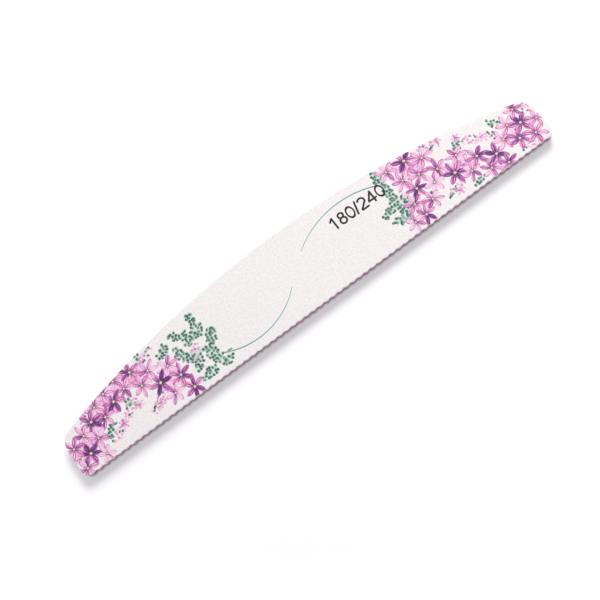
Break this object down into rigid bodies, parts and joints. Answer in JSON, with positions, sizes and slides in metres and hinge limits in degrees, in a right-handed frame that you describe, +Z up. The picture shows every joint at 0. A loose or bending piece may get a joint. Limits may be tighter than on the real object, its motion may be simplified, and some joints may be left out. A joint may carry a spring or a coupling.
{
  "type": "nail file",
  "caption": "Half-moon nail file: a flat laminate with one straight wavy edge, one curved edge and a grit face on each side.",
  "frame": {"origin": "middle of the lower face, at the centre of the file's box", "axes": "+X along the file, +Y across it towards the curved edge, +Z up through its thickness towards the 180 grit face"},
  "size_m": [0.178, 0.0274, 0.004],
  "materials": {
    "grit_180": "abrasive grain bonded over a floral print, matt and faintly sparkling",
    "grit_240": "finer abrasive grain bonded over a floral print, matt",
    "paper": "white backing paper, seen at its cut edge",
    "glue": "clear adhesive film, seen as a hairline at the cut edge",
    "foam": "white closed-cell foam, matt, with fine cells at the cut edge",
    "core": "bright pink plastic with a ribbed edge, satin"
  },
  "bodies": {
    "root": {"grit_coat_180": "grit_180", "printed_paper_180": "paper", "paper_glue_180": "glue", "foam_pad_180": "foam", "core_glue_180": "glue", "core_board": "core", "core_glue_240": "glue", "foam_pad_240": "foam", "paper_glue_240": "glue", "printed_paper_240": "paper", "grit_coat_240": "grit_240"}
  },
  "joints": []
}
